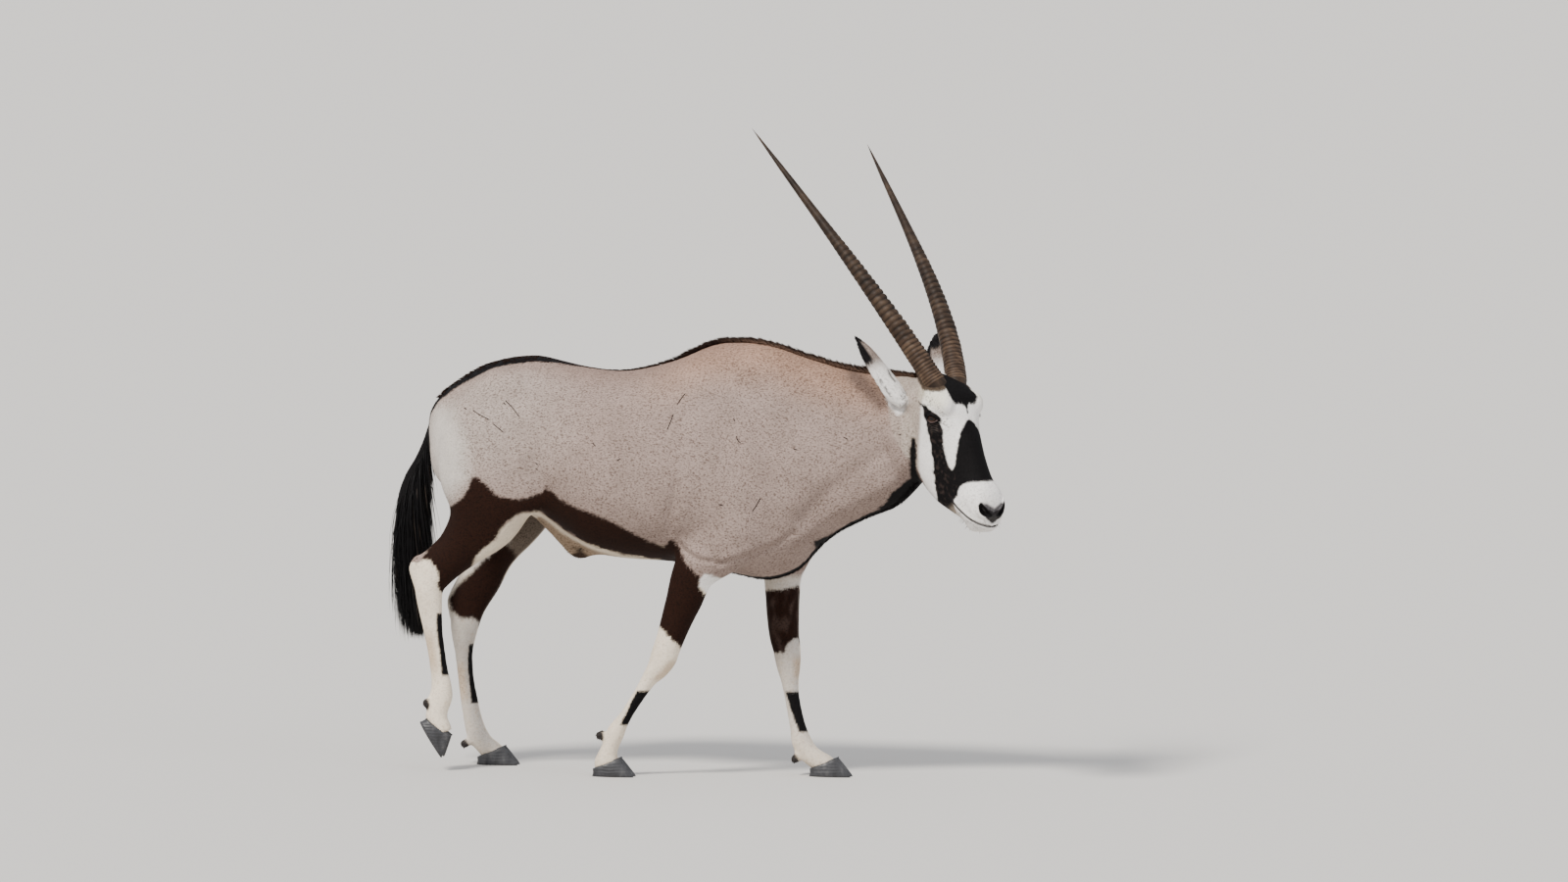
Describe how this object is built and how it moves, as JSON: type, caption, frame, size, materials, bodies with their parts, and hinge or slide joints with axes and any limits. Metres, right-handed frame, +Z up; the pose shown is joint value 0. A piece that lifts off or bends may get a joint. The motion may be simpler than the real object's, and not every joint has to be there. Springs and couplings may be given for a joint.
{
  "type": "gemsbok bull",
  "caption": "Life-size still model of a walking gemsbok bull with long ringed horns, a black and white face and a tufted tail, its head turned to its right.",
  "frame": {"origin": "middle of the bounding box's base, on the floor that the planted hooves stand on", "axes": "+X the way the animal walks, +Y to its left, +Z up"},
  "size_m": [1.6924, 0.6338, 1.7372],
  "materials": {
    "hide": "short, close coat of greyish fawn with dark brown and cream markings",
    "face": "short white coat with black patches",
    "tuft": "long black hair",
    "horn": "grey-brown ringed horn, darker and smoother towards the tip",
    "hoof": "slate grey horn",
    "eye": "wet, dark brown"
  },
  "bodies": {
    "root": {"claw_fore_left_left": "hoof", "claw_fore_left_right": "hoof", "claw_fore_right_left": "hoof", "claw_fore_right_right": "hoof", "claw_hind_left_left": "hoof", "claw_hind_left_right": "hoof", "claw_hind_right_left": "hoof", "claw_hind_right_right": "hoof", "ear_left": "hide", "ear_right": "hide", "eye_left": "eye", "eye_right": "eye", "head": "face", "horn_left": "horn", "horn_right": "horn", "leg_fore_left": "hide", "leg_fore_right": "hide", "leg_hind_left": "hide", "leg_hind_right": "hide", "neck": "hide", "tail": "tuft", "torso": "hide"}
  },
  "joints": []
}
